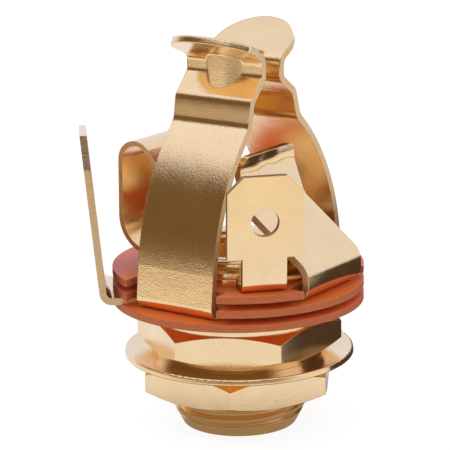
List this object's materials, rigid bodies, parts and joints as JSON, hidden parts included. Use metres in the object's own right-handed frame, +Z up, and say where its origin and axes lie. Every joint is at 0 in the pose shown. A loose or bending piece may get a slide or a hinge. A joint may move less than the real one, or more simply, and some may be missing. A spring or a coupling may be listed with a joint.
{
  "type": "mono jack socket",
  "caption": "Open-frame panel jack socket on a threaded bushing, with opposed tip springs, ground springs, solder lugs, a nut and a dress washer.",
  "frame": {"origin": "on the bushing's axis at the plane of its mouth, where the plug goes in", "axes": "+Z up the bushing's axis, away from the mouth; -Y towards the front tip spring; +X towards the short ground spring"},
  "size_m": [0.019, 0.018, 0.0286],
  "materials": {
    "bushing_gold": "polished",
    "washer_gold": "polished",
    "spring_gold": "polished",
    "fibre": "matte"
  },
  "bodies": {
    "socket": {"bushing": "bushing_gold", "lower_insulator": "fibre", "tip_contact": "spring_gold", "tip_spacer_ring": "fibre", "middle_insulator": "fibre", "right_ground_contact": "spring_gold", "upper_insulator": "fibre", "ground_lug": "spring_gold", "left_ground_contact": "spring_gold"},
    "washer": {"dress_washer": "washer_gold"},
    "nut": {"hex_nut": "bushing_gold"}
  },
  "joints": [
    {"name": "washer_slide", "type": "slide", "parent": "socket", "child": "washer", "axis": [0, 0, -1], "range_m": [0, 0.00238]},
    {"name": "nut_turn", "type": "hinge", "parent": "washer", "child": "nut", "pos_m": [0, 0, 0.00367], "axis": [0, 0, -1], "range_deg": [0, 1080]}
  ],
  "couplings": [
    {"joint": "nut_turn", "follows": "washer_slide", "rad_per_m": 7915.8}
  ]
}
